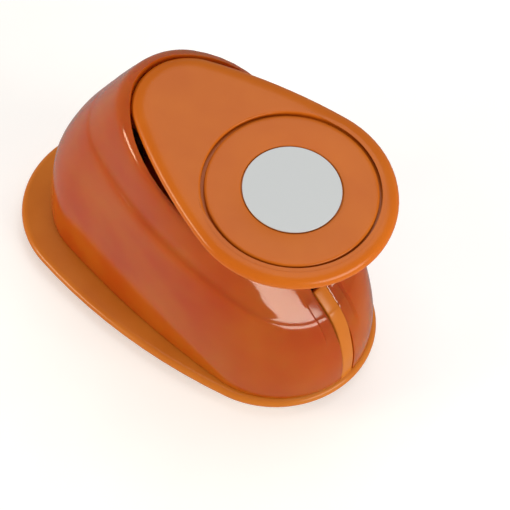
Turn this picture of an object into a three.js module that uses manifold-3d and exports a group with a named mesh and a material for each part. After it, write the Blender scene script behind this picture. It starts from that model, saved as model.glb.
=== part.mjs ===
// Lever craft punch: a squeeze-down hand punch that cuts a round disc out of paper.
// Millimetres. +X runs from the heel to the nose, +Y to the left, +Z up. The origin is the
// middle of the base outline, on the table.
import * as THREE from 'three';
import { mergeVertices } from 'three/addons/utils/BufferGeometryUtils.js';
import Module from 'manifold-3d';

const wasm = await Module();
wasm.setup();

// ---------------------------------------------------------------- driving dimensions
const halfLength = 54.8;      // base outline, heel to middle and middle to nose
const halfWidth = 30.35;      // base outline, middle to flank
const restGap = 0.3;          // air left between pieces that lie on each other
const runGap = 0.15;          // radial clearance round pins, posts and the punch

const soleThick = 0.6;
const diePlateThick = 1.5;
const slotHeight = 1.3;       // the paper slot between the die plate and the base
const brimThick = 2.8;
const brimOverhang = 3.4;     // how far the brim stands out past the die plate
const throatBack = 3.0;       // x where the slot ends and the spacer begins

const shellWall = 2.0;
const lipThick = 1.6;
const lipHeight = 5.0;
const lipGap = 0.4;
const tongueWidth = 4.0;
const tongueThick = 2.4;
const slotSideGap = 0.5;

const punchRadius = 12.7;     // a one-inch disc
const dieSetback = 36.3;      // nose to the die's centre
const punchTall = 14.3;
const punchLift = 2.0;        // punch face above the slot's ceiling at rest
const guideHalfLength = 15.5;
const guideFlangeThick = 3.0;
const guideTall = 11.5;
const windowHalfWidth = 15.0; // the opening in the base that the guide hangs in
const guideScrewY = 17.2;
const holderTall = 15.0;
const carrierThick = 2.4;
const carrierHalfLength = 13.7;
const carrierHalfWidth = 19.5;
const carrierCorner = 8.0;
const carrierScrewY = 9.3;
const boltRadius = 2.0;
const postRadius = 2.0;
const springWire = 0.45;
const springRadius = 2.75;
const springTurns = 6;

const pivotSetback = 29.8;    // die centre back to the lever's pivot
const pivotHeight = 61.3;
const pinRadius = 2.0;
const pinHalfLength = 14.6;
const frameHalfSpan = 11.6;   // pivot frame, inside face of each upright
const frameSheet = 1.5;
const frameHalfLength = 6.0;

const padSetback = 21.2;      // nose to the pad's centre
const padHeight = 68.65;
const padRadius = 27.06;
const leverTilt = THREE.MathUtils.degToRad(7.06);
const leverRimGap = 0.9;      // lever to the rim of its opening, at the heel
const leverTailRadius = 15;
const leverFlankRadius = 150;
const leverSkin = 3.0;
const leverRimWall = 3.2;
const discRadius = 22.0;
const discThick = 1.2;
const discGap = 0.9;
const labelRadius = 12.5;
const labelThick = 0.4;
const rollerRadius = 4.0;
const rollerHalfWidth = 5.5;
const rollerPinRadius = 1.5;
const ribThick = 2.5;
const eyeRadius = 3.2;
const webHalfWidth = 8.0;

const roundSides = 40;        // facets round the punch, die and pad
const screwRadius = 1.5;
const screwHeadRadius = 2.8;
const bossRadius = 3.4;
const rearScrewSetback = 16.8; // heel to the two rear die screws
const rearScrewY = 8.0;
const driveHalf = 1.4;        // half the width of a cross recess, and half its blade
const driveBlade = 0.25;
const tall = 80;              // longer than the whole punch, for cutters

// ---------------------------------------------------------------- heights and places that follow
const diePlateBottom = soleThick + restGap;
const diePlateTop = diePlateBottom + diePlateThick;
const brimBottom = diePlateTop + slotHeight;
const brimTop = brimBottom + brimThick;
const footHeight = brimTop + restGap;
const dieX = halfLength - dieSetback;
const pivotX = dieX - pivotSetback;
const padX = halfLength - padSetback;
const stripperThick = brimThick / 2 + 0.1;
const guideBottom = brimBottom + stripperThick + restGap;
const guideTop = guideBottom + guideTall;
const punchBottom = brimBottom + punchLift;
const holderBottom = punchBottom + punchTall + restGap;
const carrierBottom = holderBottom + holderTall + restGap;
const carrierTop = carrierBottom + carrierThick;
const rollerHeight = carrierTop + restGap + rollerRadius;
const springOuter = springRadius + springWire;
const postY = punchRadius + springOuter + 0.5;
const postTop = carrierTop + 4;

// ---------------------------------------------------------------- egg outlines
// An egg is a tail arc, a nose arc and two flank arcs, all tangent. Tail and nose are
// given as shares of the half width, so an egg keeps its character at any size.
function egg(rear, front, half, tailShare, noseShare) {
  const tail = half * tailShare;
  const nose = half * noseShare;
  return { rear, front, tail, nose, flank: flankRadius(front - nose - rear - tail, half, tail, nose) };
}

// Radius of the flank arcs that touch both end arcs and bulge out to the half width.
function flankRadius(span, half, tail, nose) {
  let low = half;
  let high = 1e5;
  for (let step = 0; step < 80; step += 1) {
    const middle = Math.sqrt(low * high);
    const reach = Math.sqrt(Math.max((half - nose) * (2 * middle - nose - half), 0))
      + Math.sqrt(Math.max((half - tail) * (2 * middle - tail - half), 0));
    if (reach > span) high = middle;
    else low = middle;
  }
  return low;
}

function arcPoints(centreX, centreY, radius, from, to, steps) {
  const points = [];
  for (let step = 0; step < steps; step += 1) {
    const angle = from + (to - from) * (step / steps);
    points.push(new THREE.Vector2(centreX + radius * Math.cos(angle), centreY + radius * Math.sin(angle)));
  }
  return points;
}

// Counter-clockwise points round an egg that is grown outwards by `grow`.
function eggPoints(shape, grow = 0) {
  const { tail, nose, flank } = shape;
  const tailX = shape.rear + tail;
  const noseX = shape.front - nose;
  const flankX = ((flank - tail) ** 2 - (flank - nose) ** 2 + noseX ** 2 - tailX ** 2) / (2 * (noseX - tailX));
  const flankY = -Math.sqrt((flank - nose) ** 2 - (flankX - noseX) ** 2);
  const noseTurn = Math.atan2(-flankY, noseX - flankX);
  const tailTurn = Math.atan2(-flankY, tailX - flankX);
  const full = 2 * Math.PI;
  return [
    ...arcPoints(noseX, 0, nose + grow, -noseTurn, noseTurn, 14),
    ...arcPoints(flankX, flankY, flank + grow, noseTurn, tailTurn, 5),
    ...arcPoints(tailX, 0, tail + grow, tailTurn, full - tailTurn, 12),
    ...arcPoints(flankX, -flankY, flank + grow, full - tailTurn, full - noseTurn, 5),
  ];
}

function flatRing(shape, grow, z) {
  return eggPoints(shape, grow).map((point) => new THREE.Vector3(point.x, point.y, z));
}

// ---------------------------------------------------------------- geometry helpers
// Skin over rings of equal length. `closed` joins the last ring to the first, which makes
// a hollow sleeve; otherwise both ends get a lid.
function loft(rings, closed = false) {
  const count = rings[0].length;
  const vertices = rings.flat();
  const index = [];
  const bands = closed ? rings.length : rings.length - 1;
  for (let band = 0; band < bands; band += 1) {
    const below = band * count;
    const above = ((band + 1) % rings.length) * count;
    for (let step = 0; step < count; step += 1) {
      const next = (step + 1) % count;
      index.push(below + step, below + next, above + next);
      index.push(below + step, above + next, above + step);
    }
  }
  if (!closed) {
    for (const [ring, flip] of [[0, true], [rings.length - 1, false]]) {
      const centre = new THREE.Vector3();
      rings[ring].forEach((point) => centre.addScaledVector(point, 1 / count));
      const hub = vertices.push(centre) - 1;
      for (let step = 0; step < count; step += 1) {
        const here = ring * count + step;
        const next = ring * count + ((step + 1) % count);
        index.push(hub, flip ? next : here, flip ? here : next);
      }
    }
  }
  const geometry = new THREE.BufferGeometry().setFromPoints(vertices);
  geometry.setIndex(index);
  return geometry;
}

function solid(geometry) {
  const bare = geometry.clone();
  bare.deleteAttribute('normal');
  bare.deleteAttribute('uv');
  const merged = mergeVertices(bare, 1e-4);
  return new wasm.Manifold(new wasm.Mesh({
    numProp: 3,
    vertProperties: new Float32Array(merged.attributes.position.array),
    triVerts: new Uint32Array(merged.index.array),
  }));
}

function geometryOf(body) {
  const mesh = body.getMesh();
  const geometry = new THREE.BufferGeometry();
  geometry.setAttribute('position', new THREE.BufferAttribute(new Float32Array(mesh.vertProperties), 3));
  geometry.setIndex(new THREE.BufferAttribute(new Uint32Array(mesh.triVerts), 1));
  return geometry;
}

function join(first, ...others) {
  return others.reduce((body, other) => body.add(other), first);
}

function cut(first, ...others) {
  return others.reduce((body, other) => body.subtract(other), first);
}

function block(x0, x1, y0, y1, z0, z1) {
  const box = new THREE.BoxGeometry(x1 - x0, y1 - y0, z1 - z0);
  box.translate((x0 + x1) / 2, (y0 + y1) / 2, (z0 + z1) / 2);
  return solid(box);
}

function post(x, y, z0, z1, radius, topRadius = radius, sides = 16) {
  const rod = new THREE.CylinderGeometry(topRadius, radius, z1 - z0, sides);
  rod.rotateX(Math.PI / 2);
  rod.translate(x, y, (z0 + z1) / 2);
  return solid(rod);
}

function crossRod(x, z, y0, y1, radius, sides = 20) {
  const rod = new THREE.CylinderGeometry(radius, radius, y1 - y0, sides);
  rod.translate(x, (y0 + y1) / 2, z);
  return solid(rod);
}

function prism(points, z0, z1) {
  const plate = new THREE.ExtrudeGeometry(new THREE.Shape(points), { depth: z1 - z0, bevelEnabled: false });
  plate.translate(0, 0, z0);
  return solid(plate);
}

// A plate that is drawn in the XZ plane and is thick along Y.
function sidePlate(shape, y0, y1) {
  const plate = new THREE.ExtrudeGeometry(shape, { depth: y1 - y0, bevelEnabled: false, curveSegments: 10 });
  plate.rotateX(Math.PI / 2);
  plate.translate(0, y1, 0);
  return solid(plate);
}

function roundedRectangle(x0, x1, halfY, corner) {
  const shape = new THREE.Shape();
  shape.moveTo(x0 + corner, -halfY);
  shape.lineTo(x1 - corner, -halfY);
  shape.absarc(x1 - corner, -halfY + corner, corner, -Math.PI / 2, 0);
  shape.lineTo(x1, halfY - corner);
  shape.absarc(x1 - corner, halfY - corner, corner, 0, Math.PI / 2);
  shape.lineTo(x0 + corner, halfY);
  shape.absarc(x0 + corner, halfY - corner, corner, Math.PI / 2, Math.PI);
  shape.lineTo(x0, -halfY + corner);
  shape.absarc(x0 + corner, -halfY + corner, corner, Math.PI, Math.PI * 1.5);
  return shape.getPoints(6);
}

// ---------------------------------------------------------------- materials
function material(colour, roughness, metalness = 0) {
  return new THREE.MeshStandardMaterial({ color: colour, roughness, metalness });
}

const orangePlastic = material(0xcb7733, 0.3);
const tintedPlastic = material(0xc0502d, 0.12);
tintedPlastic.transparent = true;
tintedPlastic.opacity = 0.7;
const blackPlastic = material(0x26221f, 0.5);
const whiteNylon = material(0xe6e1d4, 0.45);
const brightSteel = material(0xb9bcbf, 0.28, 1);
const darkSteel = material(0x5a5855, 0.4, 1);
const blackRubber = material(0x1e1d1c, 0.8);
const greyLabel = material(0xced4d6, 0.4);

function piece(name, body, finish) {
  const mesh = new THREE.Mesh(body.isBufferGeometry ? body : geometryOf(body), finish);
  mesh.name = name;
  return mesh;
}

// ---------------------------------------------------------------- outlines of base and housing
const baseEgg = egg(-halfLength, halfLength, halfWidth, 0.942, 0.875);

// Housing levels, from the foot on the brim up to the rim of the lever's opening: how far the
// level lies in from the base outline at the heel, nose and flank, its height at heel and
// nose, its roundness at tail and nose, and how much it arches up between them.
const housingLevels = [
  { heel: 8.4, nose: 0.9, flank: 5.75, heelZ: footHeight, noseZ: footHeight, tail: 0.854, round: 0.988, arch: 0 },
  { heel: 8.8, nose: 0.5, flank: 5.75, heelZ: 16, noseZ: 14, tail: 0.846, round: 0.98, arch: 0.3 },
  { heel: 10.9, nose: 1.4, flank: 5.95, heelZ: 29, noseZ: 20.5, tail: 0.832, round: 0.963, arch: 1.2 },
  { heel: 16.5, nose: 2.9, flank: 6.25, heelZ: 42.3, noseZ: 26, tail: 0.813, round: 0.929, arch: 2.8 },
  { heel: 22.6, nose: 5.2, flank: 6.6, heelZ: 53, noseZ: 30, tail: 0.814, round: 0.881, arch: 4.5 },
  { heel: 24.4, nose: 6.5, flank: 7.9, heelZ: 55.9, noseZ: 31.3, tail: 0.817, round: 0.853, arch: 5 },
  { heel: 27.6, nose: 8.8, flank: 8.1, heelZ: 61.3, noseZ: 33.6, tail: 0.819, round: 0.802, arch: 5.8 },
  { heel: 32.2, nose: 13.8, flank: 8.4, heelZ: 68.5, noseZ: 38.2, tail: 0.83, round: 0.692, arch: 6.5 },
  { heel: 34.9, nose: 17.8, flank: 9.0, heelZ: 72.3, noseZ: 41.8, tail: 0.845, round: 0.605, arch: 6.6 },
  { heel: 38.0, nose: 21.8, flank: 9.75, heelZ: 74.3, noseZ: 45, tail: 0.767, round: 0.534, arch: 5.5 },
];

function levelEgg(level) {
  return egg(level.heel - halfLength, halfLength - level.nose, halfWidth - level.flank, level.tail, level.round);
}

function levelRing(level, grow = 0, drop = 0) {
  const shape = levelEgg(level);
  return eggPoints(shape, grow).map((point) => {
    const along = (point.x - shape.rear) / (shape.front - shape.rear);
    const height = level.heelZ + (level.noseZ - level.heelZ) * along + level.arch * 4 * along * (1 - along);
    return new THREE.Vector3(point.x, point.y, height - drop);
  });
}

const footEgg = levelEgg(housingLevels[0]);
const lipOutside = -(shellWall + lipGap);
const lipInside = lipOutside - lipThick;

// ---------------------------------------------------------------- base group
// Screws come up from below through sole and die plate into four bosses of the base.
const dieScrewPlaces = [
  [rearScrewSetback - halfLength, -rearScrewY],
  [rearScrewSetback - halfLength, rearScrewY],
  [throatBack - 4, -guideScrewY],
  [throatBack - 4, guideScrewY],
];

// A cross recess in the head of a screw that stands at x, y.
function crossDrive(x, y, z0, z1) {
  return join(
    block(x - driveHalf, x + driveHalf, y - driveBlade, y + driveBlade, z0, z1),
    block(x - driveBlade, x + driveBlade, y - driveHalf, y + driveHalf, z0, z1));
}

function makeSole() {
  const sheet = loft([0, soleThick].map((z) => flatRing(baseEgg, -brimOverhang - 0.6, z)));
  const chipHole = post(dieX, 0, -1, soleThick + 1, punchRadius + 1.3, punchRadius + 1.3, roundSides);
  const screwHoles = dieScrewPlaces.map(([x, y]) => post(x, y, -1, soleThick + 1, screwHeadRadius + 0.6));
  return cut(solid(sheet), chipHole, ...screwHoles);
}

function makeDiePlate() {
  const outline = [diePlateBottom, diePlateTop].map((z) => flatRing(baseEgg, -brimOverhang, z));
  const dieHole = post(dieX, 0, 0, diePlateTop + 1, punchRadius + runGap, punchRadius + runGap, roundSides);
  const chipRelief = post(dieX, 0, 0, diePlateBottom + 0.7, punchRadius + 1.3, punchRadius + 0.5, roundSides);
  const countersinks = dieScrewPlaces.map(([x, y]) => post(
    x, y, diePlateBottom - 0.01, diePlateTop - 0.01, screwHeadRadius + restGap, screwRadius + restGap));
  const shankHoles = dieScrewPlaces.map(([x, y]) => post(x, y, 0, diePlateTop + 1, screwRadius + restGap));
  return cut(solid(loft(outline)), dieHole, chipRelief, ...countersinks, ...shankHoles);
}

function makeDieScrew([x, y]) {
  const head = post(x, y, diePlateBottom + 0.05, diePlateTop, screwHeadRadius, screwRadius);
  const shank = post(x, y, diePlateTop - 0.2, brimTop + lipHeight - 1.5, screwRadius);
  return cut(join(head, shank), crossDrive(x, y, 0, diePlateBottom + 0.6));
}

// The tongue follows the nose of the housing, from the brim up over the shoulder.
function noseProfile(inwards) {
  const curve = new THREE.CatmullRomCurve3(housingLevels.slice(0, 8).map((level) => (
    new THREE.Vector3(halfLength - level.nose, 0, level.noseZ))));
  return curve.getSpacedPoints(24).map((point, step) => {
    const tangent = curve.getTangentAt(step / 24);
    return new THREE.Vector2(point.x - inwards * tangent.z, point.z + inwards * tangent.x);
  });
}

const tongueTopX = halfLength - 12.2;

function makeTongue() {
  const reach = (point) => point.x > tongueTopX;
  const outside = noseProfile(restGap).filter(reach);
  const inside = noseProfile(tongueThick).filter(reach);
  const root = [new THREE.Vector2(inside[0].x, brimBottom + 1), new THREE.Vector2(outside[0].x, brimBottom + 1)];
  const shape = new THREE.Shape([...root, ...outside, ...inside.reverse()]);
  return sidePlate(shape, -tongueWidth / 2, tongueWidth / 2);
}

// The snap lip has short breaks and a notch where the tongue stands.
function makeLip() {
  const low = brimTop - 0.5;
  const high = brimTop + lipHeight;
  const ring = solid(loft([
    flatRing(footEgg, lipOutside, low), flatRing(footEgg, lipOutside, high),
    flatRing(footEgg, lipInside, high), flatRing(footEgg, lipInside, low)], true));
  const breaks = [-0.55, -0.22, 0.1, 0.42].map((share) => block(
    share * halfLength - 1.2, share * halfLength + 1.2, -halfWidth, halfWidth, high - 2.6, high + 1));
  return cut(ring, ...breaks);
}

function makeBase() {
  const brimSteps = [[0, -1.2], [0.4, -0.35], [1.3, 0], [2.2, -0.35], [brimThick, -1.3]];
  const brim = solid(loft(brimSteps.map(([rise, grow]) => flatRing(baseEgg, grow, brimBottom + rise))));
  const spacerBottom = diePlateTop + restGap;
  const spacerSides = [spacerBottom, brimBottom + 0.5].map((z) => flatRing(baseEgg, -brimOverhang - 1, z));
  const spacer = solid(loft(spacerSides)).intersect(block(-halfLength, throatBack, -halfWidth, halfWidth, 0, 10));
  const bosses = dieScrewPlaces.map(([x, y]) => post(x, y, brimTop - 0.5, brimTop + lipHeight - 0.6, bossRadius));
  const window = block(dieX - guideHalfLength + 1, dieX + guideHalfLength - 1,
    -windowHalfWidth, windowHalfWidth, 0, tall);
  const hole = screwRadius + restGap;
  const screwHoles = dieScrewPlaces.map(([x, y]) => post(x, y, 0, brimTop + lipHeight - 1.2, hole));
  const framePilots = frameScrewPlaces.map(([x, y]) => post(x, y, brimBottom - 0.6, tall, hole));
  const guidePilots = guideScrewPlaces.map(([x, y]) => post(x, y, brimBottom + 0.4, tall, hole));
  const body = join(brim, spacer, makeLip(), ...bosses, makeTongue());
  return cut(body, window, ...screwHoles, ...framePilots, ...guidePilots);
}

// ---------------------------------------------------------------- housing
function makeHousing() {
  const outside = housingLevels.map((level) => levelRing(level));
  const drops = [0, 0, 0.2, 0.5, 0.9, 1.1, 1.3, 1.6, 1.8, 2];
  const inside = housingLevels.map((level, step) => {
    const grow = step === housingLevels.length - 1 ? -0.2 : -shellWall + 0.1 * step;
    return levelRing(level, grow, drops[step]);
  }).reverse();
  const shell = solid(loft([...outside, ...inside], true));
  const side = tongueWidth / 2 + slotSideGap;
  const noseSlot = block(tongueTopX - slotSideGap, halfLength + 1, -side, side, 0, pivotHeight);
  return cut(shell, noseSlot);
}

// ---------------------------------------------------------------- pivot frame
const frameScrewPlaces = [[pivotX, -6], [pivotX, 6]];
const frameBottom = brimTop + restGap;

function makePivotFrame() {
  const flange = block(pivotX - frameHalfLength, pivotX + frameHalfLength,
    -frameHalfSpan - frameSheet, frameHalfSpan + frameSheet, frameBottom, frameBottom + frameSheet);
  const sides = [-1, 1].map((side) => {
    const face = side * frameHalfSpan;
    const back = side * (frameHalfSpan + frameSheet);
    return uprightPlate(Math.min(face, back), Math.max(face, back));
  });
  const pinHole = crossRod(pivotX, pivotHeight, -halfWidth, halfWidth, pinRadius + runGap);
  const screwHoles = frameScrewPlaces.map(([x, y]) => post(x, y, 0, 20, screwRadius + restGap));
  return cut(join(flange, ...sides), pinHole, ...screwHoles);
}

function uprightPlate(y0, y1) {
  const eye = pinRadius + 2.2;
  const shape = new THREE.Shape();
  shape.moveTo(pivotX - frameHalfLength, frameBottom);
  shape.lineTo(pivotX + frameHalfLength, frameBottom);
  shape.lineTo(pivotX + eye, pivotHeight);
  shape.absarc(pivotX, pivotHeight, eye, 0, Math.PI);
  return sidePlate(shape, y0, y1);
}

function makePanScrew([x, y], seat, tip) {
  const head = post(x, y, seat, seat + 1.5, screwHeadRadius - 0.2, screwHeadRadius - 0.9);
  const shank = post(x, y, tip, seat + 0.2, screwRadius);
  return cut(join(head, shank), crossDrive(x, y, seat + 0.8, seat + 3));
}

function makePinClip(side) {
  const inner = side * (frameHalfSpan + frameSheet + restGap);
  const outer = inner + side * 0.8;
  const ring = crossRod(pivotX, pivotHeight, Math.min(inner, outer), Math.max(inner, outer), pinRadius + 1.4);
  return cut(ring, crossRod(pivotX, pivotHeight, -halfWidth, halfWidth, pinRadius + runGap));
}

// ---------------------------------------------------------------- cutting set
const guideScrewPlaces = [-1, 1].flatMap((end) => [-1, 1].map((side) => (
  [dieX + end * (guideHalfLength - 3.4), side * guideScrewY])));

function makeStripper() {
  const half = guideHalfLength - 1 - restGap;
  const side = windowHalfWidth - restGap;
  const plate = block(dieX - half, dieX + half, -side, side, brimBottom, brimBottom + stripperThick);
  return cut(plate, post(dieX, 0, 0, tall, punchRadius + 0.5, punchRadius + 0.5, roundSides));
}

function makeGuide() {
  const half = guideHalfLength - 1 - restGap;
  const side = windowHalfWidth - restGap;
  const plug = block(dieX - half, dieX + half, -side, side, guideBottom, guideTop);
  const flangeBottom = brimTop + restGap;
  const inLip = [flangeBottom, guideTop].map((z) => flatRing(footEgg, lipInside - restGap, z));
  const flange = solid(loft(inLip)).intersect(block(dieX - guideHalfLength, dieX + guideHalfLength,
    -halfWidth, halfWidth, flangeBottom, flangeBottom + guideFlangeThick));
  const towers = [-1, 1].map((end) => post(dieX, end * postY, flangeBottom, guideTop, springOuter));
  const bore = post(dieX, 0, 0, guideTop + 1, punchRadius + runGap, punchRadius + runGap, roundSides);
  const postHoles = [-1, 1].map((end) => (
    post(dieX, end * postY, flangeBottom + 2, guideTop + 1, postRadius + runGap)));
  const screwHoles = guideScrewPlaces.map(([x, y]) => post(x, y, 0, guideTop + 1, screwRadius + restGap));
  const headRoom = guideScrewPlaces.map(([x, y]) => post(
    x, y, flangeBottom + guideFlangeThick, guideTop + 1, screwHeadRadius + restGap));
  return cut(join(plug, flange, ...towers), bore, ...postHoles, ...screwHoles, ...headRoom);
}

function makePunch() {
  const body = post(dieX, 0, punchBottom, punchBottom + punchTall, punchRadius, punchRadius, roundSides);
  const faceRelief = post(
    dieX, 0, punchBottom - 0.1, punchBottom + 0.8, punchRadius - 1.2, punchRadius - 2.4, roundSides);
  const counterbore = post(dieX, 0, punchBottom - 1, punchBottom + 4, 4.3);
  const boltHole = post(dieX, 0, punchBottom, holderBottom, boltRadius + restGap);
  return cut(body, faceRelief, counterbore, boltHole);
}

function makePunchBolt() {
  const seat = punchBottom + 4 - restGap;
  const head = post(dieX, 0, seat - 2.4, seat, 3.7);
  const socket = post(dieX, 0, seat - 3, seat - 1, 1.6, 1.6, 6);
  return cut(join(head, post(dieX, 0, seat - 0.2, holderBottom + 9, boltRadius)), socket);
}

function makeHolder() {
  const body = post(dieX, 0, holderBottom, holderBottom + holderTall, punchRadius - 0.5, punchRadius - 0.5, 32);
  const flats = [-1, 1].map((end) => block(
    dieX + end * 14 - 5, dieX + end * 14 + 5, -20, 20, holderBottom + 3, holderBottom + holderTall - 3));
  const boltHole = post(dieX, 0, holderBottom - 1, holderBottom + 10, boltRadius + restGap);
  const screwHoles = [-1, 1].map((side) => post(
    dieX, side * carrierScrewY, carrierBottom - 9, carrierBottom, screwRadius + restGap));
  return cut(body, ...flats, boltHole, ...screwHoles);
}

function makeCarrier() {
  const outline = roundedRectangle(
    dieX - carrierHalfLength, dieX + carrierHalfLength, carrierHalfWidth, carrierCorner);
  const hole = screwRadius + restGap;
  const postHoles = [-1, 1].map((side) => post(dieX, side * postY, 0, tall, postRadius + runGap + 0.1));
  const shankHoles = [-1, 1].map((side) => post(dieX, side * carrierScrewY, 0, tall, hole));
  const countersinks = [-1, 1].map((side) => post(
    dieX, side * carrierScrewY, carrierTop - 1.5, carrierTop + 0.01, hole, screwHeadRadius + restGap));
  return cut(prism(outline, carrierBottom, carrierTop), ...postHoles, ...shankHoles, ...countersinks);
}

function makeCarrierScrew(side) {
  const y = side * carrierScrewY;
  const head = post(dieX, y, carrierTop - 1.5, carrierTop - 0.05, screwRadius, screwHeadRadius);
  const shank = post(dieX, y, carrierBottom - 8, carrierTop - 1.3, screwRadius);
  return cut(join(head, shank), crossDrive(dieX, y, carrierTop - 0.7, carrierTop + 1));
}

function makeGuidePost(side) {
  const foot = brimTop + restGap + 2 + restGap;
  const shaft = post(dieX, side * postY, foot, postTop - 0.6, postRadius);
  return join(shaft, post(dieX, side * postY, postTop - 0.6, postTop, postRadius, postRadius - 0.5));
}

function makeSpring(side) {
  const low = guideTop + restGap + springWire;
  const high = carrierBottom - restGap - springWire;
  const turns = springTurns;
  class Helix extends THREE.Curve {
    getPoint(share, target = new THREE.Vector3()) {
      const angle = share * turns * 2 * Math.PI;
      return target.set(
        dieX + springRadius * Math.cos(angle),
        side * postY + springRadius * Math.sin(angle),
        low + (high - low) * share);
    }
  }
  const round = new THREE.EllipseCurve(0, 0, springWire, springWire, 0, 2 * Math.PI);
  const wire = new THREE.Shape(round.getPoints(5).slice(0, 5));
  return new THREE.ExtrudeGeometry(wire, { steps: turns * 10, extrudePath: new Helix(), bevelEnabled: false });
}

// ---------------------------------------------------------------- lever, in its own tilted frame
// The lever's frame has its origin on top of the pad's centre and is tilted nose-down.
function inLever(x, z) {
  const dx = x - padX;
  const dz = z - padHeight;
  return {
    x: dx * Math.cos(leverTilt) - dz * Math.sin(leverTilt),
    z: dx * Math.sin(leverTilt) + dz * Math.cos(leverTilt),
  };
}

const rimLevel = housingLevels[housingLevels.length - 1];
const leverRear = rimLevel.heel - halfLength + leverRimGap;
const leverEgg = {
  rear: (leverRear - padX) / Math.cos(leverTilt),
  front: padRadius,
  tail: leverTailRadius,
  nose: padRadius,
  flank: leverFlankRadius,
};
const edgeSteps = [[0, -3.6], [-0.5, -1.6], [-1.3, -0.45], [-2.4, 0], [-3.6, -0.4], [-4.6, -1.6]];
const leverUnder = edgeSteps[edgeSteps.length - 1][0];

function makeLever() {
  const hub = inLever(pivotX, pivotHeight);
  const roller = inLever(dieX, rollerHeight);
  const plate = solid(loft([...edgeSteps].reverse().map(([z, grow]) => flatRing(leverEgg, grow, z))));
  const pocket = solid(loft([
    flatRing(leverEgg, -leverRimWall, leverUnder - 1), flatRing(leverEgg, -leverRimWall, -leverSkin)]));
  const recess = post(0, 0, -discThick - restGap, 2, discRadius + discGap, discRadius + discGap, roundSides);
  const barrelRadius = pinRadius + 2.4;
  const barrel = crossRod(hub.x, hub.z, -frameHalfSpan + 0.4, frameHalfSpan - 0.4, barrelRadius);
  const ceiling = 0.2 - leverSkin;
  const web = block(hub.x - 3, hub.x + 4, -webHalfWidth, webHalfWidth, hub.z, ceiling);
  const spine = block(hub.x, roller.x, -ribThick / 2, ribThick / 2, leverUnder - 3, ceiling);
  const ribInside = rollerHalfWidth + 0.3;
  const ribs = [-1, 1].flatMap((side) => {
    const near = side * ribInside;
    const far = side * (ribInside + ribThick);
    const y0 = Math.min(near, far);
    const y1 = Math.max(near, far);
    return [
      block(roller.x - eyeRadius, roller.x + eyeRadius, y0, y1, roller.z, ceiling),
      crossRod(roller.x, roller.z, y0, y1, eyeRadius),
    ];
  });
  const bridge = block(roller.x - eyeRadius, roller.x + eyeRadius, -ribInside - 0.2, ribInside + 0.2,
    roller.z + rollerRadius + 1, ceiling);
  const body = join(cut(plate, pocket), barrel, web, spine, ...ribs, bridge);
  return cut(body, recess, crossRod(hub.x, hub.z, -halfWidth, halfWidth, pinRadius + runGap),
    crossRod(roller.x, roller.z, -halfWidth, halfWidth, rollerPinRadius + runGap));
}

function makePadDisc() {
  const disc = post(0, 0, -discThick, -0.2, discRadius, discRadius, roundSides);
  const crown = post(0, 0, -0.3, 0, discRadius, discRadius - 0.35, roundSides);
  return cut(join(disc, crown), post(0, 0, -0.5, 1, labelRadius + restGap, labelRadius + restGap, roundSides));
}

function makeLabel() {
  const bottom = restGap - 0.5;
  return post(0, 0, bottom, bottom + labelThick, labelRadius, labelRadius, roundSides);
}

function makeRoller() {
  const { x, z } = inLever(dieX, rollerHeight);
  const wheel = crossRod(x, z, -rollerHalfWidth, rollerHalfWidth, rollerRadius, 28);
  return cut(wheel, crossRod(x, z, -halfWidth, halfWidth, rollerPinRadius + runGap));
}

function makeRollerPin() {
  const { x, z } = inLever(dieX, rollerHeight);
  const half = rollerHalfWidth + 0.3 + ribThick;
  return crossRod(x, z, -half, half, rollerPinRadius);
}

// ---------------------------------------------------------------- assembly
const group = new THREE.Group();

const base = new THREE.Group();
base.add(
  piece('sole_pad', makeSole(), blackRubber),
  piece('die_plate', makeDiePlate(), brightSteel),
  piece('base', makeBase(), orangePlastic),
  piece('housing', makeHousing(), tintedPlastic),
  piece('pivot_frame', makePivotFrame(), darkSteel),
  piece('pivot_pin', crossRod(pivotX, pivotHeight, -pinHalfLength, pinHalfLength, pinRadius), brightSteel),
  piece('pin_clip_left', makePinClip(1), darkSteel),
  piece('pin_clip_right', makePinClip(-1), darkSteel),
  piece('stripper_plate', makeStripper(), brightSteel),
  piece('punch_guide', makeGuide(), blackPlastic),
  piece('guide_post_left', makeGuidePost(1), brightSteel),
  piece('guide_post_right', makeGuidePost(-1), brightSteel),
  piece('return_spring_left', makeSpring(1), brightSteel),
  piece('return_spring_right', makeSpring(-1), brightSteel),
);
dieScrewPlaces.forEach((place, step) => base.add(piece(`die_screw_${step + 1}`, makeDieScrew(place), darkSteel)));
frameScrewPlaces.forEach((place, step) => base.add(piece(`frame_screw_${step + 1}`,
  makePanScrew(place, frameBottom + frameSheet + restGap, brimBottom - 0.3), darkSteel)));
guideScrewPlaces.forEach((place, step) => base.add(piece(`guide_screw_${step + 1}`,
  makePanScrew(place, brimTop + restGap + guideFlangeThick + restGap, brimBottom + 0.7), darkSteel)));

const punchSet = new THREE.Group();
punchSet.add(
  piece('punch', makePunch(), brightSteel),
  piece('punch_bolt', makePunchBolt(), darkSteel),
  piece('punch_holder', makeHolder(), blackPlastic),
  piece('carrier_plate', makeCarrier(), darkSteel),
  piece('carrier_screw_left', makeCarrierScrew(1), darkSteel),
  piece('carrier_screw_right', makeCarrierScrew(-1), darkSteel),
);

const lever = new THREE.Group();
lever.position.set(padX, 0, padHeight);
lever.rotation.y = leverTilt;
lever.add(
  piece('lever', makeLever(), orangePlastic),
  piece('pad_disc', makePadDisc(), orangePlastic),
  piece('label_disc', makeLabel(), greyLabel),
  piece('roller_pin', makeRollerPin(), brightSteel),
  piece('roller', makeRoller(), whiteNylon),
);

group.add(base, punchSet, lever);

export default group;
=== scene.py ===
from math import asin, atan2, cos, pi, radians, sin, sqrt

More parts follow.
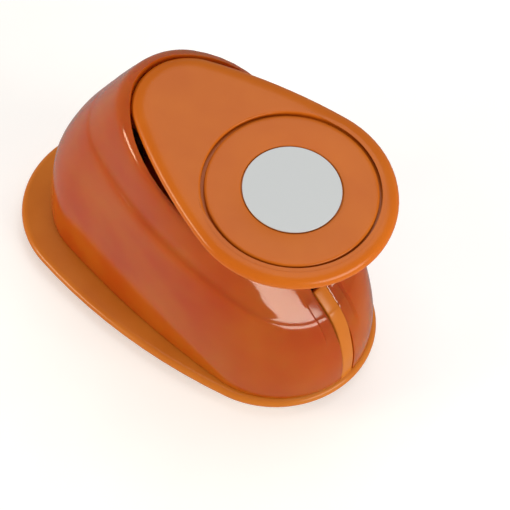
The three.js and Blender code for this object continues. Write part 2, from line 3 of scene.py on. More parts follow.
import bpy
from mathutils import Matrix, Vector


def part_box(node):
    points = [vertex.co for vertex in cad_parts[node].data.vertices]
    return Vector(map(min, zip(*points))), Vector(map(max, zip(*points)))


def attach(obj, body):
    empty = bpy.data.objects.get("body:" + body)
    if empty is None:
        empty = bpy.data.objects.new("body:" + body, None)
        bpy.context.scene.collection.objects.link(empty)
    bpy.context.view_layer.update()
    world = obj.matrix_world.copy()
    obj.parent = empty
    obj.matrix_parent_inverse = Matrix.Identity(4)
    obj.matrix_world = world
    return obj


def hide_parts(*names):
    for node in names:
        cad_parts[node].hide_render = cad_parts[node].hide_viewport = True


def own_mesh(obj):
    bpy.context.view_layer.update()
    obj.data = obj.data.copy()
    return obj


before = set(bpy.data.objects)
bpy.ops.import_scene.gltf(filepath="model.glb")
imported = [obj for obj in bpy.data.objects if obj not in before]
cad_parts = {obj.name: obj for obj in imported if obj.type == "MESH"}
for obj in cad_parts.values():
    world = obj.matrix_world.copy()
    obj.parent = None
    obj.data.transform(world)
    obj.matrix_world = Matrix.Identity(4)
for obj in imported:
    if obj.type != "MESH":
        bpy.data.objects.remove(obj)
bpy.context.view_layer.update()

mm = 0.001


# Small helpers for modelling
def startWork(message):
    print("craft punch:", message)
    if bpy.context.mode != "OBJECT":
        bpy.ops.object.mode_set(mode="OBJECT")
    bpy.ops.object.select_all(action="DESELECT")


def makeActive(piece):
    bpy.ops.object.select_all(action="DESELECT")
    piece.select_set(True)
    bpy.context.view_layer.objects.active = piece


def placePrimitive(name):  # names the primitive that was just added and moves its place into its mesh
    piece = bpy.context.object
    piece.name = name
    bpy.ops.object.transform_apply(location=True, rotation=True, scale=True)
    return piece


def applyModifier(piece, kind, **settings):
    makeActive(piece)
    modifier = piece.modifiers.new(kind.title(), kind)
    for key, value in settings.items():
        setattr(modifier, key, value)
    bpy.ops.object.modifier_apply(modifier=modifier.name)


def applyBevel(piece, width, degrees):
    applyModifier(piece, "BEVEL", width=width, segments=3, limit_method="ANGLE",
                  angle_limit=radians(degrees))


def cutAway(piece, cutter):
    applyModifier(piece, "BOOLEAN", object=cutter, operation="DIFFERENCE", solver="EXACT")
    bpy.data.objects.remove(cutter)


def joinPieces(pieces, name):
    makeActive(pieces[0])
    for other in pieces[1:]:
        other.select_set(True)
    bpy.ops.object.join()
    whole = bpy.context.object
    whole.name = name
    return whole


def copyOf(piece, name):
    twin = piece.copy()
    twin.data = piece.data.copy()
    twin.name = name
    bpy.context.scene.collection.objects.link(twin)
    return twin


def cleanMesh(piece):
    makeActive(piece)
    bpy.ops.object.mode_set(mode="EDIT")
    bpy.ops.mesh.select_all(action="SELECT")
    bpy.ops.mesh.remove_doubles(threshold=0.002 * mm)
    bpy.ops.mesh.normals_make_consistent(inside=False)
    bpy.ops.object.mode_set(mode="OBJECT")


def shiftMesh(piece, offset):
    makeActive(piece)
    bpy.ops.object.mode_set(mode="EDIT")
    bpy.ops.mesh.select_all(action="SELECT")
    bpy.ops.transform.translate(value=offset)
    bpy.ops.object.mode_set(mode="OBJECT")


def selectOpenEdges():
    bpy.ops.mesh.select_all(action="DESELECT")
    bpy.ops.mesh.select_non_manifold(extend=False, use_wire=False, use_multi_face=False,
                                     use_non_contiguous=False)


def smoothOver(piece, degrees=40):
    makeActive(piece)
    bpy.ops.object.shade_smooth_by_angle(angle=radians(degrees))


def roundedBlock(name, low, high, corner=0.4 * mm):
    centre = [(a + b) / 2 for a, b in zip(low, high)]
    bpy.ops.mesh.primitive_cube_add(size=1, location=centre)
    bpy.context.object.scale = [b - a for a, b in zip(low, high)]
    piece = placePrimitive(name)
    if corner:
        applyBevel(piece, corner, 30)
    return piece


def roundBar(name, place, radius, length, axis="Z", corner=0.0):
    turn = {"Y": (pi / 2, 0, 0), "Z": (0, 0, 0)}[axis]
    bpy.ops.mesh.primitive_cylinder_add(vertices=48, radius=radius, depth=length, location=place,
                                        rotation=turn)
    piece = placePrimitive(name)
    if corner:
        applyBevel(piece, corner, 50)
    return piece


# Materials
def linear(hexColour):
    channels = [int(hexColour[i:i + 2], 16) / 255 for i in (0, 2, 4)]
    return [c / 12.92 if c <= 0.04045 else ((c + 0.055) / 1.055) ** 2.4 for c in channels] + [1.0]


def newMaterial(name):
    material = bpy.data.materials.new(name)
    material.use_nodes = True
    return material, material.node_tree.nodes["Principled BSDF"]


def addNode(material, kind, settings=None, links=()):  # a link is another node's output and an input here
    node = material.node_tree.nodes.new(kind)
    for key, value in (settings or {}).items():
        node.inputs[key].default_value = value
    for source, target in links:
        material.node_tree.links.new(source, node.inputs[target])
    return node


def addMottle(material, surface, noise, stops, gloss):  # two close tones and a slight change of gloss
    place = addNode(material, "ShaderNodeTexCoord")
    flow = addNode(material, "ShaderNodeTexNoise", noise, [(place.outputs["Object"], "Vector")])
    tone = addNode(material, "ShaderNodeValToRGB", links=[(flow.outputs["Fac"], "Fac")])
    for element, (position, colour) in zip(tone.color_ramp.elements, stops):
        element.position = position
        element.color = linear(colour)
    spread = addNode(material, "ShaderNodeMapRange", {"To Min": gloss[0], "To Max": gloss[1]},
                     [(flow.outputs["Fac"], "Value")])
    material.node_tree.links.new(tone.outputs["Color"], surface.inputs["Base Color"])
    material.node_tree.links.new(spread.outputs["Result"], surface.inputs["Roughness"])


def mouldedOrange(name, dark, light):
    # Opaque moulded ABS with a little pearl in it: saturated colour, satin gloss, a faint flow mottle
    material, surface = newMaterial(name)
    surface.inputs["IOR"].default_value = 1.5
    surface.inputs["Specular IOR Level"].default_value = 0.25
    noise = {"Scale": 1 / (18 * mm), "Detail": 3.0, "Roughness": 0.5}
    addMottle(material, surface, noise, [(0.3, dark), (0.7, light)], (0.2, 0.28))
    return material


def tintedShell():
    # Tinted see-through styrene, 2 mm wall: red where light goes through it, milky where it scatters
    material, surface = newMaterial("Tinted polystyrene shell")
    surface.inputs["IOR"].default_value = 1.5
    surface.inputs["Specular IOR Level"].default_value = 0.42
    surface.inputs["Transmission Weight"].default_value = 0.35
    surface.inputs["Subsurface Weight"].default_value = 0.5
    surface.inputs["Subsurface Radius"].default_value = (1.0, 0.3, 0.1)
    surface.inputs["Subsurface Scale"].default_value = 4 * mm
    noise = {"Scale": 1 / (22 * mm), "Detail": 2.0, "Roughness": 0.5}
    addMottle(material, surface, noise, [(0.35, "C8500E"), (0.7, "D26A16")], (0.1, 0.15))
    return material


def plainFinish(name, colour, roughness, metallic=0.0, grain=0.4 * mm, spread=0.05):
    # One colour with its gloss broken up by the grain of the surface
    material, surface = newMaterial(name)
    surface.inputs["Base Color"].default_value = linear(colour)
    surface.inputs["Metallic"].default_value = metallic
    place = addNode(material, "ShaderNodeTexCoord")
    noise = addNode(material, "ShaderNodeTexNoise", {"Scale": 1 / grain, "Detail": 2.0},
                    [(place.outputs["Object"], "Vector")])
    limits = {"To Min": roughness - spread, "To Max": roughness + spread}
    gloss = addNode(material, "ShaderNodeMapRange", limits, [(noise.outputs["Fac"], "Value")])
    material.node_tree.links.new(gloss.outputs["Result"], surface.inputs["Roughness"])
    return material


finishes = {
    "orange": mouldedOrange("Moulded orange ABS", "C4610F", "CC6B16"),
    "golden": mouldedOrange("Moulded golden orange ABS", "C06A1C", "C97626"),
    "tinted": tintedShell(),
    "black": plainFinish("Black acetal", "1E1B19", 0.45, grain=1.5 * mm),         # moulded, dull sheen
    "nylon": plainFinish("Natural nylon", "DAD5C6", 0.4, grain=1.2 * mm),         # waxy off-white
    "ground": plainFinish("Ground tool steel", "B4B6B8", 0.28, 1.0, 0.5 * mm),    # fine grit, bright
    "oiled": plainFinish("Oiled dark steel", "55524E", 0.38, 1.0, 0.8 * mm),      # dark film, soft glints
    "rubber": plainFinish("Foam rubber sheet", "1B1A19", 0.8, grain=0.6 * mm),    # matt, fine cells
    "label": plainFinish("Silver-grey label", "CACFD3", 0.42, grain=2.0 * mm),    # printed film, soft sheen
}


def finishWith(piece, key):
    piece.data.materials.clear()
    piece.data.materials.append(finishes[key])


# Egg outlines: a tail arc and a nose arc, joined on each side by a long flank arc
def flankRadius(span, half, tail, nose):  # for arc centres a span apart and a widest point of half
    low, high = half, 100.0
    for step in range(80):
        middle = sqrt(low * high)
        noseReach = sqrt(max((half - nose) * (2 * middle - nose - half), 0))
        tailReach = sqrt(max((half - tail) * (2 * middle - tail - half), 0))
        if noseReach + tailReach > span:
            high = middle
        else:
            low = middle
    return low


def eggOf(rear, front, half, tailShare, noseShare):
    tail, nose = half * tailShare, half * noseShare
    return {"rear": rear, "front": front, "tail": tail, "nose": nose,
            "flank": flankRadius(front - nose - rear - tail, half, tail, nose)}


def eggPoints(egg, grow=0.0, noseSplits=(), steps=(20, 10, 20)):
    tailX, noseX = egg["rear"] + egg["tail"], egg["front"] - egg["nose"]
    tail, nose, flank = egg["tail"], egg["nose"], egg["flank"]
    flankX = ((flank - tail) ** 2 - (flank - nose) ** 2 + noseX ** 2 - tailX ** 2) / (2 * (noseX - tailX))
    flankY = -sqrt((flank - nose) ** 2 - (flankX - noseX) ** 2)
    noseTurn, tailTurn = atan2(-flankY, noseX - flankX), atan2(-flankY, tailX - flankX)
    turns = [0.0] + [asin(side / (nose + grow)) for side in noseSplits]
    turns += [turns[-1] + (noseTurn - turns[-1]) * step / steps[0] for step in range(1, steps[0])]
    points = [(noseX + (nose + grow) * cos(turn), (nose + grow) * sin(turn)) for turn in turns]
    arcs = [(flankX, flankY, flank + grow, noseTurn, tailTurn, steps[1]),
            (tailX, 0, tail + grow, tailTurn, pi, steps[2])]
    for centreX, centreY, radius, start, end, count in arcs:
        for step in range(count):
            turn = start + (end - start) * step / count
            points.append((centreX + radius * cos(turn), centreY + radius * sin(turn)))
    tip = (tailX - tail - grow, 0.0)
    return points + [tip] + [(x, -y) for x, y in reversed(points[1:])]


def eggAt(egg, height, grow):
    return [(x, y, height) for x, y in eggPoints(egg, grow)]


def curveThrough(rows, share):  # a smooth value between evenly spaced rows, each a list of numbers
    step = min(int(share), len(rows) - 2)
    t = share - step
    before, here = rows[max(step - 1, 0)], rows[step]
    after, beyond = rows[step + 1], rows[min(step + 2, len(rows) - 1)]
    return [0.5 * (2 * b + (c - a) * t
                   + (2 * a - 5 * b + 4 * c - d) * t * t
                   + (3 * b - a - 3 * c + d) * t ** 3)
            for a, b, c, d in zip(before, here, after, beyond)]


def loftRings(name, rings, closed=False):  # a circle is set on the first ring and extruded to each next one
    count = len(rings[0])
    bpy.ops.mesh.primitive_circle_add(vertices=count, radius=mm)
    piece = placePrimitive(name)
    for step, ring in enumerate(rings):
        bpy.ops.object.mode_set(mode="EDIT")
        if step == 0:
            bpy.ops.mesh.select_mode(type="EDGE")
            bpy.ops.mesh.select_all(action="SELECT")
        else:
            bpy.ops.mesh.extrude_region_move(TRANSFORM_OT_translate={"value": (0, 0, mm)})
        bpy.ops.object.mode_set(mode="OBJECT")
        for vertex, place in zip(list(piece.data.vertices)[-count:], ring):
            vertex.co = place
    bpy.ops.object.mode_set(mode="EDIT")
    selectOpenEdges()
    if closed:
        bpy.ops.mesh.bridge_edge_loops()
    else:
        bpy.ops.mesh.edge_face_add()
    bpy.ops.object.mode_set(mode="OBJECT")
    cleanMesh(piece)
    return piece


def lathe(name, profile, steps=128):  # profile of (radius, height) pairs in mm, spun once round Z
    radius, height = profile[0]
    bpy.ops.mesh.primitive_plane_add(size=mm, location=(radius * mm, 0, height * mm))
    piece = placePrimitive(name)
    bpy.ops.object.mode_set(mode="EDIT")
    bpy.ops.mesh.select_mode(type="VERT")
    bpy.ops.mesh.select_all(action="SELECT")
    bpy.ops.mesh.merge(type="CENTER")
    for nextRadius, nextHeight in profile[1:]:
        move = ((nextRadius - radius) * mm, 0, (nextHeight - height) * mm)
        bpy.ops.mesh.extrude_region_move(TRANSFORM_OT_translate={"value": move})
        radius, height = nextRadius, nextHeight
    bpy.ops.mesh.select_all(action="SELECT")
    bpy.ops.mesh.spin(steps=steps, angle=2 * pi, center=(0, 0, 0), axis=(0, 0, 1))
    bpy.ops.object.mode_set(mode="OBJECT")
    cleanMesh(piece)
    return piece


# Where things are, read from the frame
def corners(node):
    low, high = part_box(node)
    return Vector(low), Vector(high)


def middleOf(node):
    low, high = corners(node)
    return (low + high) / 2


airGap = 0.3 * mm        # between pieces that touch on the real one
halfLength = corners("base")[1].x
halfWidth = corners("base")[1].y
diePlateTop = corners("die_plate")[1].z
brimBottom = corners("stripper_plate")[0].z
brimTop = corners("housing")[0].z - airGap
dieX = middleOf("punch").x
pivot = middleOf("pivot_pin")
rollerCentre = middleOf("roller")

# The tinted housing shell
housing = {
    # mm in from the base outline at heel, nose and flank, height at heel and nose,
    # roundness at tail and nose, arch between them, wall drop, wall thickness
    "levels": [
        [8.4, 0.9, 5.75, 6.8, 6.8, 0.854, 0.988, 0, 0, 2.0],
        [8.8, 0.5, 5.75, 16, 14, 0.846, 0.98, 0.3, 0, 1.9],
        [10.9, 1.4, 5.95, 29, 20.5, 0.832, 0.963, 1.2, 0.2, 1.8],
        [16.5, 2.9, 6.25, 42.3, 26, 0.813, 0.929, 2.8, 0.5, 1.7],
        [22.6, 5.2, 6.6, 53, 30, 0.814, 0.881, 4.5, 0.9, 1.6],
        [24.4, 6.5, 7.9, 55.9, 31.3, 0.817, 0.853, 5, 1.1, 1.55],
        [27.6, 8.8, 8.1, 61.3, 33.6, 0.819, 0.802, 5.8, 1.3, 1.5],
        [32.2, 13.8, 8.4, 68.5, 38.2, 0.83, 0.692, 6.5, 1.6, 1.4],
        [34.9, 17.8, 9.0, 72.3, 41.8, 0.82, 0.72, 6.2, 1.8, 1.1],
        [38.0, 21.8, 10.0, 74.3, 45, 0.705, 0.92, 4.8, 1.6, 0.3],
    ],
    "ringsBetween": 4,
    "ringSteps": (18, 14, 18),   # along the nose, flank and tail arcs
    "slotHalf": 2.25 * mm,       # the slot for the tongue
    "slotEnd": 42.1 * mm,
    "slotLand": 0.7 * mm,
    "saddleHalf": 5.2 * mm,      # the shallow recess on each side of the slot
    "saddleStep": 0.8 * mm,
    "saddleDepth": 0.75 * mm,
    "saddleLean": (0.8, 0.6),    # how much of the depth goes back and how much down
    "saddleFoot": (21 * mm, 26 * mm),
    "saddleHead": (41 * mm, 45 * mm),
    "edge": 0.45 * mm,
}


def fade(value, start, end):
    share = min(max((value - start) / (end - start), 0), 1)
    return share * share * (3 - 2 * share)


def wallEgg(heel, nose, flank, tailShare, noseShare):  # mm in from the base outline
    return eggOf(heel * mm - halfLength, halfLength - nose * mm, halfWidth - flank * mm, tailShare, noseShare)


def housingRing(row, inner):
    heel, nose, flank, heelZ, noseZ, tailShare, noseShare, arch, drop, wall = row
    egg = wallEgg(heel, nose, flank, tailShare, noseShare)
    saddleHalf = housing["saddleHalf"]
    splits = (housing["slotHalf"] + housing["slotLand"], saddleHalf, saddleHalf + housing["saddleStep"])
    ring = []
    for x, y in eggPoints(egg, -wall * mm if inner else 0, splits, housing["ringSteps"]):
        share = (x - egg["rear"]) / (egg["front"] - egg["rear"])
        z = (heelZ + (noseZ - heelZ) * share + arch * 4 * share * (1 - share)) * mm
        if inner:
            z -= drop * mm
        elif x > 0 and abs(y) < saddleHalf + 0.1 * mm:
            depth = housing["saddleDepth"] * fade(z, *housing["saddleFoot"]) * fade(x, *housing["saddleHead"])
            x -= depth * housing["saddleLean"][0]
            z -= depth * housing["saddleLean"][1]
        ring.append((x, y, z))
    return ring


def buildHousing():
    startWork("housing shell")
    between = housing["ringsBetween"]
    count = (len(housing["levels"]) - 1) * between
    rows = [curveThrough(housing["levels"], step / between) for step in range(count + 1)]
    rings = [housingRing(row, False) for row in rows]
    rings += [housingRing(row, True) for row in reversed(rows)]
    shell = loftRings("housingShell", rings, closed=True)
    half = housing["slotHalf"]
    slot = roundedBlock("slotCutter", (housing["slotEnd"], -half, 0), (halfLength + mm, half, pivot.z), 0)
    cutAway(shell, slot)
    applyBevel(shell, housing["edge"], 60)
    smoothOver(shell, 32)
    finishWith(shell, "tinted")
    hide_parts("housing")
    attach(shell, "body")


# The base with its brim, snap lip and tongue
base = {
    "roundness": (0.942, 0.875),              # of the outline at tail and nose
    "brim": [(0, -1.7), (0.12, -1.0), (0.45, -0.4), (0.95, -0.08), (1.4, 0), (1.85, -0.1), (2.3, -0.42),
             (2.65, -0.95), (2.8, -1.7)],     # rise over the underside and growth of the outline, mm
    "windowHalf": 15 * mm,                    # the window under the punch guide
    "windowWall": mm,
    "lip": (-2.4, -4.0, 5.0),                 # outside and inside of the snap lip, and its height, mm
    "lipCorner": 0.3,
    "lipSink": 0.4 * mm,
    "lipBreaks": [(-33.5, 2.4), (-12.1, 2.4), (7.0, 2.4), (27.5, 3.2)],     # place and width, mm
    "breakDepth": 2.6 * mm,
    "spacerInset": -4.4 * mm,                 # the part that fills the rear of the paper slot
    "spacerFront": 3 * mm,
    "spacerSink": 0.5 * mm,
    "tongueHalf": 2 * mm,
    "tongueDepth": 2.1 * mm,
    "tongueSink": 0.25 * mm,                  # behind the face of the wall
    "tongueCorner": 0.35 * mm,
    "bosses": [(-38, -8), (-38, 8), (-1, -17.2), (-1, 17.2)],               # mm
    "bossRadius": 3.4 * mm,
    "bossSink": 0.5 * mm,
    "bossRise": 4.4 * mm,
}
baseEgg = eggOf(-halfLength, halfLength, halfWidth, *base["roundness"])


def buildBrim():
    rings = [eggAt(baseEgg, brimBottom + rise * mm, grow * mm) for rise, grow in base["brim"]]
    brim = loftRings("basePan", rings)
    applyModifier(brim, "TRIANGULATE", min_vertices=5)
    reach = corners("punch_guide")[1].x - dieX - base["windowWall"]
    side = base["windowHalf"]
    cutAway(brim, roundedBlock("windowCutter", (dieX - reach, -side, 0), (dieX + reach, side, pivot.z), 0))
    return brim


def buildLip():
    heel, nose, flank, _, _, tailShare, noseShare = housing["levels"][0][:7]
    egg = wallEgg(heel, nose, flank, tailShare, noseShare)
    outside, inside, rise = base["lip"]
    corner = base["lipCorner"]
    low, high = brimTop - base["lipSink"], brimTop + rise * mm
    shoulder = high - corner * mm
    section = [(low, outside), (shoulder, outside), (high, outside - corner),
               (high, inside + corner), (shoulder, inside), (low, inside)]
    lip = loftRings("snapLip", [eggAt(egg, height, grow * mm) for height, grow in section], closed=True)
    for x, width in base["lipBreaks"]:
        near, far = (x - width / 2) * mm, (x + width / 2) * mm
        cutAway(lip, roundedBlock("breakCutter", (near, -halfWidth, high - base["breakDepth"]),
                                  (far, halfWidth, high + mm), 0))
    return lip


def buildTongue():  # follows the nose of the wall up to the end of its slot
    rows = [[halfLength / mm - row[1], row[4]] for row in housing["levels"]]
    slotEnd = (housing["slotEnd"] + housing["slotLand"]) / mm
    line = [curveThrough(rows, step / 6) for step in range(42)]
    line = [(x * mm, z * mm) for x, z in line if x > slotEnd]
    x, z = line[0][0], brimBottom + mm
    bpy.ops.mesh.primitive_plane_add(size=2 * base["tongueHalf"], location=(x, 0, z))
    strip = placePrimitive("tongue")
    bpy.ops.object.mode_set(mode="EDIT")
    bpy.ops.mesh.select_all(action="SELECT")
    bpy.ops.transform.resize(value=(0, 1, 1), center_override=(x, 0, z))
    bpy.ops.mesh.remove_doubles(threshold=0.01 * mm)
    for nextX, nextZ in line:
        bpy.ops.mesh.extrude_region_move(TRANSFORM_OT_translate={"value": (nextX - x, 0, nextZ - z)})
        x, z = nextX, nextZ
    bpy.ops.mesh.select_all(action="SELECT")
    bpy.ops.mesh.normals_make_consistent(inside=False)
    bpy.ops.object.mode_set(mode="OBJECT")
    facing = sum((face.normal.x for face in strip.data.polygons), 0.0)
    applyModifier(strip, "SOLIDIFY", thickness=base["tongueDepth"], offset=-1 if facing > 0 else 1)
    cleanMesh(strip)
    shiftMesh(strip, (-base["tongueSink"], 0, 0))
    applyBevel(strip, base["tongueCorner"], 50)
    return strip


def buildSpacer():
    low, high = diePlateTop + airGap, brimBottom + base["spacerSink"]
    spacer = loftRings("spacer", [eggAt(baseEgg, height, base["spacerInset"]) for height in (low, high)])
    cutAway(spacer, roundedBlock("spacerCutter", (base["spacerFront"], -halfWidth, 0),
                                 (2 * halfLength, halfWidth, pivot.z), 0))
    return spacer


def buildBase():
    startWork("base")
    parts = [buildBrim(), buildLip(), buildTongue(), buildSpacer()]
    height = base["bossRise"] + base["bossSink"]
    middle = brimTop + (base["bossRise"] - base["bossSink"]) / 2
    for x, y in base["bosses"]:
        parts.append(roundBar("boss", (x * mm, y * mm, middle), base["bossRadius"], height, corner=0.4 * mm))
    pan = joinPieces(parts, "basePan")
    smoothOver(pan)
    finishWith(pan, "golden")
    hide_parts("base")
    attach(pan, "body")


# The lever, modelled level with the centre of its pad at the origin and then tilted into place
lever = {
    "tilt": radians(7.06),
    "padSetback": 21.2 * mm,        # from the front of the base to the pad's centre
    "padHeight": 68.65 * mm,
    "edge": [(-4.35, -3.2), (-4.35, -1.9), (-4.1, -1.2), (-3.5, -0.4), (-2.9, -0.06), (-2.3, 0),
             (-1.7, -0.14), (-1.15, -0.5), (-0.7, -1.15), (-0.35, -2.0), (-0.1, -3.1),
             (0, -4.4)],            # height and growth of the outline, mm
    "recess": [(23.7, 0), (23.35, -0.03), (23.1, -0.13), (22.95, -0.3), (22.9, -0.55),
               (22.9, -1.5)],       # radius and height, mm
    "skin": 3.0 * mm,
    "rimWall": -3.2 * mm,
    "tailRadius": 15 * mm,
    "tailGap": 0.9 * mm,            # to the rim of the housing
    "padRadius": 27.04 * mm,
    "flankRadius": 140 * mm,
    "barrelRadius": 4.4 * mm,
    "barrelLength": 22.4 * mm,
    "pinBore": 2.15 * mm,
    "webReach": (3 * mm, 4 * mm),   # behind and ahead of the pin
    "webHalf": 8 * mm,
    "spineHalf": 1.2 * mm,
    "spineDepth": 7.6 * mm,
    "ribPlace": 7.05 * mm,          # from the middle plane
    "ribWidth": 2.5 * mm,
    "eyeRadius": 3.2 * mm,
    "rollerBore": 1.65 * mm,
    "bridgeHalf": 6 * mm,
    "bridgeLift": 5 * mm,           # over the centre of the roller
    "overlap": 0.2 * mm,            # of the inner parts with the skin
}
padCentre = Vector((halfLength - lever["padSetback"], 0, lever["padHeight"]))


def intoLever(piece):  # from the lever's own frame, tilted nose-down, to the shared one
    makeActive(piece)
    piece.rotation_euler = (0, lever["tilt"], 0)
    piece.location = padCentre
    bpy.ops.object.transform_apply(location=True, rotation=True, scale=True)


def inLever(point):
    offset = point - padCentre
    along, up = cos(lever["tilt"]), sin(lever["tilt"])
    return Vector((offset.x * along - offset.z * up, offset.y, offset.x * up + offset.z * along))


def buildPlate():
    heel = housing["levels"][-1][0] * mm - halfLength
    rear = (heel + lever["tailGap"] - padCentre.x) / cos(lever["tilt"])
    egg = {"rear": rear, "front": lever["padRadius"], "tail": lever["tailRadius"],
           "nose": lever["padRadius"], "flank": lever["flankRadius"]}
    rings = [eggAt(egg, -lever["skin"], lever["rimWall"])]
    rings += [eggAt(egg, height * mm, grow * mm) for height, grow in lever["edge"]]
    turns = [atan2(y, x) for x, y, z in rings[-1]]
    rings += [[(radius * mm * cos(turn), radius * mm * sin(turn), height * mm) for turn in turns]
              for radius, height in lever["recess"]]
    return loftRings("leverPlate", rings)


def boreThrough(part, place, radius):
    cutAway(part, roundBar("boreCutter", place, radius, 2 * halfWidth, axis="Y"))


def buildLever():
    startWork("lever")
    plate = buildPlate()
    hub, roller = inLever(pivot), inLever(rollerCentre)
    ceiling = lever["overlap"] - lever["skin"]
    barrel = roundBar("barrel", hub, lever["barrelRadius"], lever["barrelLength"], axis="Y", corner=0.3 * mm)
    boreThrough(barrel, hub, lever["pinBore"])
    rear, front = hub.x - lever["webReach"][0], hub.x + lever["webReach"][1]
    side = lever["webHalf"]
    web = roundedBlock("web", (rear, -side, hub.z), (front, side, ceiling))
    side = lever["spineHalf"]
    spine = roundedBlock("spine", (hub.x, -side, -lever["spineDepth"]), (roller.x, side, ceiling))
    parts = [plate, barrel, web, spine]
    rear, front = roller.x - lever["eyeRadius"], roller.x + lever["eyeRadius"]
    width = lever["ribWidth"]
    for place in (-lever["ribPlace"], lever["ribPlace"]):
        rib = roundedBlock("rib", (rear, place - width / 2, roller.z), (front, place + width / 2, ceiling),
                           0.3 * mm)
        eye = roundBar("eye", (roller.x, place, roller.z), lever["eyeRadius"], width, axis="Y",
                       corner=0.2 * mm)
        for part in (rib, eye):
            boreThrough(part, roller, lever["rollerBore"])
            parts.append(part)
    side = lever["bridgeHalf"]
    foot = roller.z + lever["bridgeLift"]
    parts.append(roundedBlock("bridge", (rear, -side, foot), (front, side, ceiling)))
    arm = joinPieces(parts, "leverArm")
    smoothOver(arm)
    intoLever(arm)
    finishWith(arm, "orange")
    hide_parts("lever")
    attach(arm, "lever")


# The disc in the pad and the label on it
padDisc = {
    # radius and height in mm: under face, rounded outer edge, crown, label recess
    "disc": [(0, -1.2), (21.6, -1.2), (21.95, -1.05), (22.0, -0.7), (21.93, -0.4), (21.7, -0.17),
             (21.3, -0.06), (20.5, -0.02), (13.1, 0), (12.9, -0.06), (12.8, -0.2), (12.8, -0.5), (0, -0.5)],
    "label": [(0, -0.2), (12.4, -0.2), (12.5, -0.1), (12.5, 0.1), (12.42, 0.19), (0, 0.2)],
}


def buildPad():
    startWork("pad disc and label")
    disc = lathe("padDisc", padDisc["disc"])
    label = lathe("labelDisc", padDisc["label"])
    for piece in (disc, label):
        smoothOver(piece)
        intoLever(piece)
    finishWith(disc, "orange")
    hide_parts("pad_disc")
    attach(disc, "lever")
    finishWith(label, "label")
    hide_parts("label_disc")
    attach(label, "lever")


# The two return springs
spring = {
    "wire": 0.45 * mm,
    "radius": 2.75 * mm,
    "turns": 6,
    "travel": 4.9 * mm,    # how much shorter they are at full press
}


def buildSpring():
    startWork("return springs")
    low, high = corners("return_spring_left")
    middle = (low + high) / 2
    wire = spring["wire"]
    bpy.ops.mesh.primitive_circle_add(vertices=14, radius=wire, rotation=(pi / 2, 0, 0),
                                      location=(spring["radius"], 0, low.z + wire))
    coil = placePrimitive("springLeft")
    pitch = (high.z - low.z - 2 * wire) / spring["turns"]
    applyModifier(coil, "SCREW", axis="Z", angle=2 * pi, iterations=spring["turns"], screw_offset=pitch,
                  steps=32, render_steps=32)
    makeActive(coil)
    bpy.ops.object.mode_set(mode="EDIT")
    bpy.ops.mesh.select_mode(type="EDGE")
    selectOpenEdges()
    bpy.ops.mesh.fill()
    bpy.ops.object.mode_set(mode="OBJECT")
    shiftMesh(coil, (dieX, middle.y, 0))
    cleanMesh(coil)
    smoothOver(coil)
    finishWith(coil, "ground")
    twin = copyOf(coil, "springRight")
    shiftMesh(twin, (0, -2 * middle.y, 0))
    for piece, node in ((coil, "return_spring_left"), (twin, "return_spring_right")):
        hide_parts(node)
        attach(piece, "body")
        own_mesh(piece)


# Finishes of the pieces that keep their CAD shape
carried = {
    "ground": ["die_plate", "pivot_pin", "stripper_plate", "guide_post_left", "guide_post_right", "punch",
               "roller_pin"],
    "oiled": ["pivot_frame", "pin_clip_left", "pin_clip_right", "die_screw_1", "die_screw_2",
              "die_screw_3", "die_screw_4", "frame_screw_1", "frame_screw_2", "guide_screw_1",
              "guide_screw_2", "guide_screw_3", "guide_screw_4", "punch_bolt", "carrier_plate",
              "carrier_screw_left", "carrier_screw_right"],
    "black": ["punch_guide", "punch_holder"],
    "nylon": ["roller"],
    "rubber": ["sole_pad"],
}


def finishCarried():
    startWork("finishes of the inner parts")
    for key, nodes in carried.items():
        for node in nodes:
            finishWith(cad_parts[node], key)


# Table, light and camera
studio = {
    "floorSize": 4,
    "floorDrop": 0.05 * mm,
    "floorTones": ("E2E2E2", "EAEAEA"),
    "floorGlow": 0.36,
    "worldGlow": 0.32,
    "target": (0.0209, 0.0, 0.02847),
    "azimuth": -46.72,
    "elevation": 54.468,
    "distance": 0.9064,
    "lens": 247.06,
    "sensor": 36,
    "clip": (0.01, 20),
    "lightDistance": 0.8,
    # name, azimuth and elevation in degrees, size, power, colour
    "lights": [
        ("left window", -130, 14, (0.34, 0.2), 3.6, "FFE8C4"),
        ("front window", 0, 20, (0.56, 0.27), 4.4, "FFF8E8"),
        ("overhead", 100, 75, (0.7, 0.7), 2.4, "FFFFFF"),
    ],
}


def towards(azimuth, elevation):
    turn, lift = radians(azimuth), radians(elevation)
    return Vector((cos(turn) * cos(lift), sin(turn) * cos(lift), sin(lift)))


def aimedBack(direction):  # the turn that points a light or the camera back along the direction
    return (-direction).to_track_quat("-Z", "Y").to_euler()


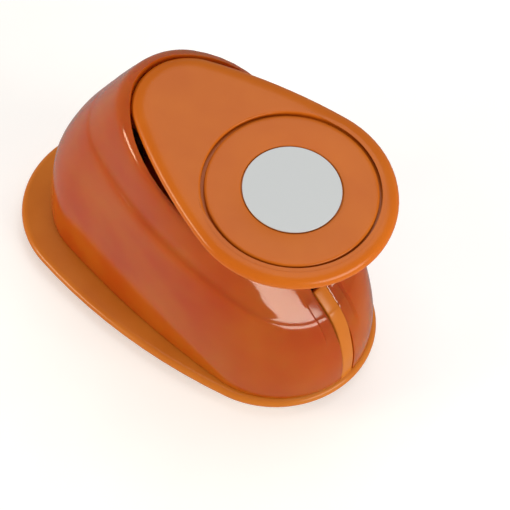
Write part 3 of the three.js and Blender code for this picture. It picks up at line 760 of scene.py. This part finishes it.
def paperSweep():
    # Matt white paper: faint uneven tone, and clear from below, so that the underside can be looked at
    material, surface = newMaterial("Matt white paper sweep")
    place = addNode(material, "ShaderNodeTexCoord")
    cloud = addNode(material, "ShaderNodeTexNoise", {"Scale": 1 / (25 * mm), "Detail": 2.0},
                    [(place.outputs["Object"], "Vector")])
    tone = addNode(material, "ShaderNodeValToRGB", links=[(cloud.outputs["Fac"], "Fac")])
    for element, colour in zip(tone.color_ramp.elements, studio["floorTones"]):
        element.color = linear(colour)
    material.node_tree.links.new(tone.outputs["Color"], surface.inputs["Base Color"])
    surface.inputs["Roughness"].default_value = 0.9
    surface.inputs["Specular IOR Level"].default_value = 0.1
    surface.inputs["Emission Color"].default_value = linear("FFFFFF")
    surface.inputs["Emission Strength"].default_value = studio["floorGlow"]
    side = addNode(material, "ShaderNodeNewGeometry")
    clear = addNode(material, "ShaderNodeBsdfTransparent")
    choice = addNode(material, "ShaderNodeMixShader", links=[
        (side.outputs["Backfacing"], 0), (surface.outputs["BSDF"], 1), (clear.outputs["BSDF"], 2)])
    output = material.node_tree.nodes["Material Output"]
    material.node_tree.links.new(choice.outputs["Shader"], output.inputs["Surface"])
    return material


def addLight(target, name, azimuth, elevation, size, power, colour):
    direction = towards(azimuth, elevation)
    bpy.ops.object.light_add(type="AREA", location=target + direction * studio["lightDistance"])
    lamp = bpy.context.object
    lamp.name = name
    lamp.data.shape = "RECTANGLE"
    lamp.data.size, lamp.data.size_y = size
    lamp.data.energy = power
    lamp.data.color = linear(colour)[:3]
    lamp.rotation_euler = aimedBack(direction)


def buildStudio():
    startWork("studio")
    bpy.ops.mesh.primitive_plane_add(size=studio["floorSize"], location=(0, 0, -studio["floorDrop"]))
    floor = placePrimitive("studioFloor")
    floor.data.materials.append(paperSweep())
    floor.visible_glossy = False  # the glossy shell doesn't mirror the table
    target = Vector(studio["target"])
    for light in studio["lights"]:
        addLight(target, *light)
    world = bpy.data.worlds.new("pale room")
    world.use_nodes = True
    background = world.node_tree.nodes["Background"]
    background.inputs["Color"].default_value = linear("FFFFFF")
    background.inputs["Strength"].default_value = studio["worldGlow"]
    bpy.context.scene.world = world
    direction = towards(studio["azimuth"], studio["elevation"])
    bpy.ops.object.camera_add(location=target + direction * studio["distance"])
    camera = bpy.context.object
    camera.rotation_euler = aimedBack(direction)
    camera.data.lens = studio["lens"]
    camera.data.sensor_width = studio["sensor"]
    camera.data.clip_start, camera.data.clip_end = studio["clip"]
    bpy.context.scene.camera = camera
    bpy.context.scene.view_settings.view_transform = "Standard"


buildHousing()
buildBase()
buildLever()
buildPad()
buildSpring()
finishCarried()
buildStudio()
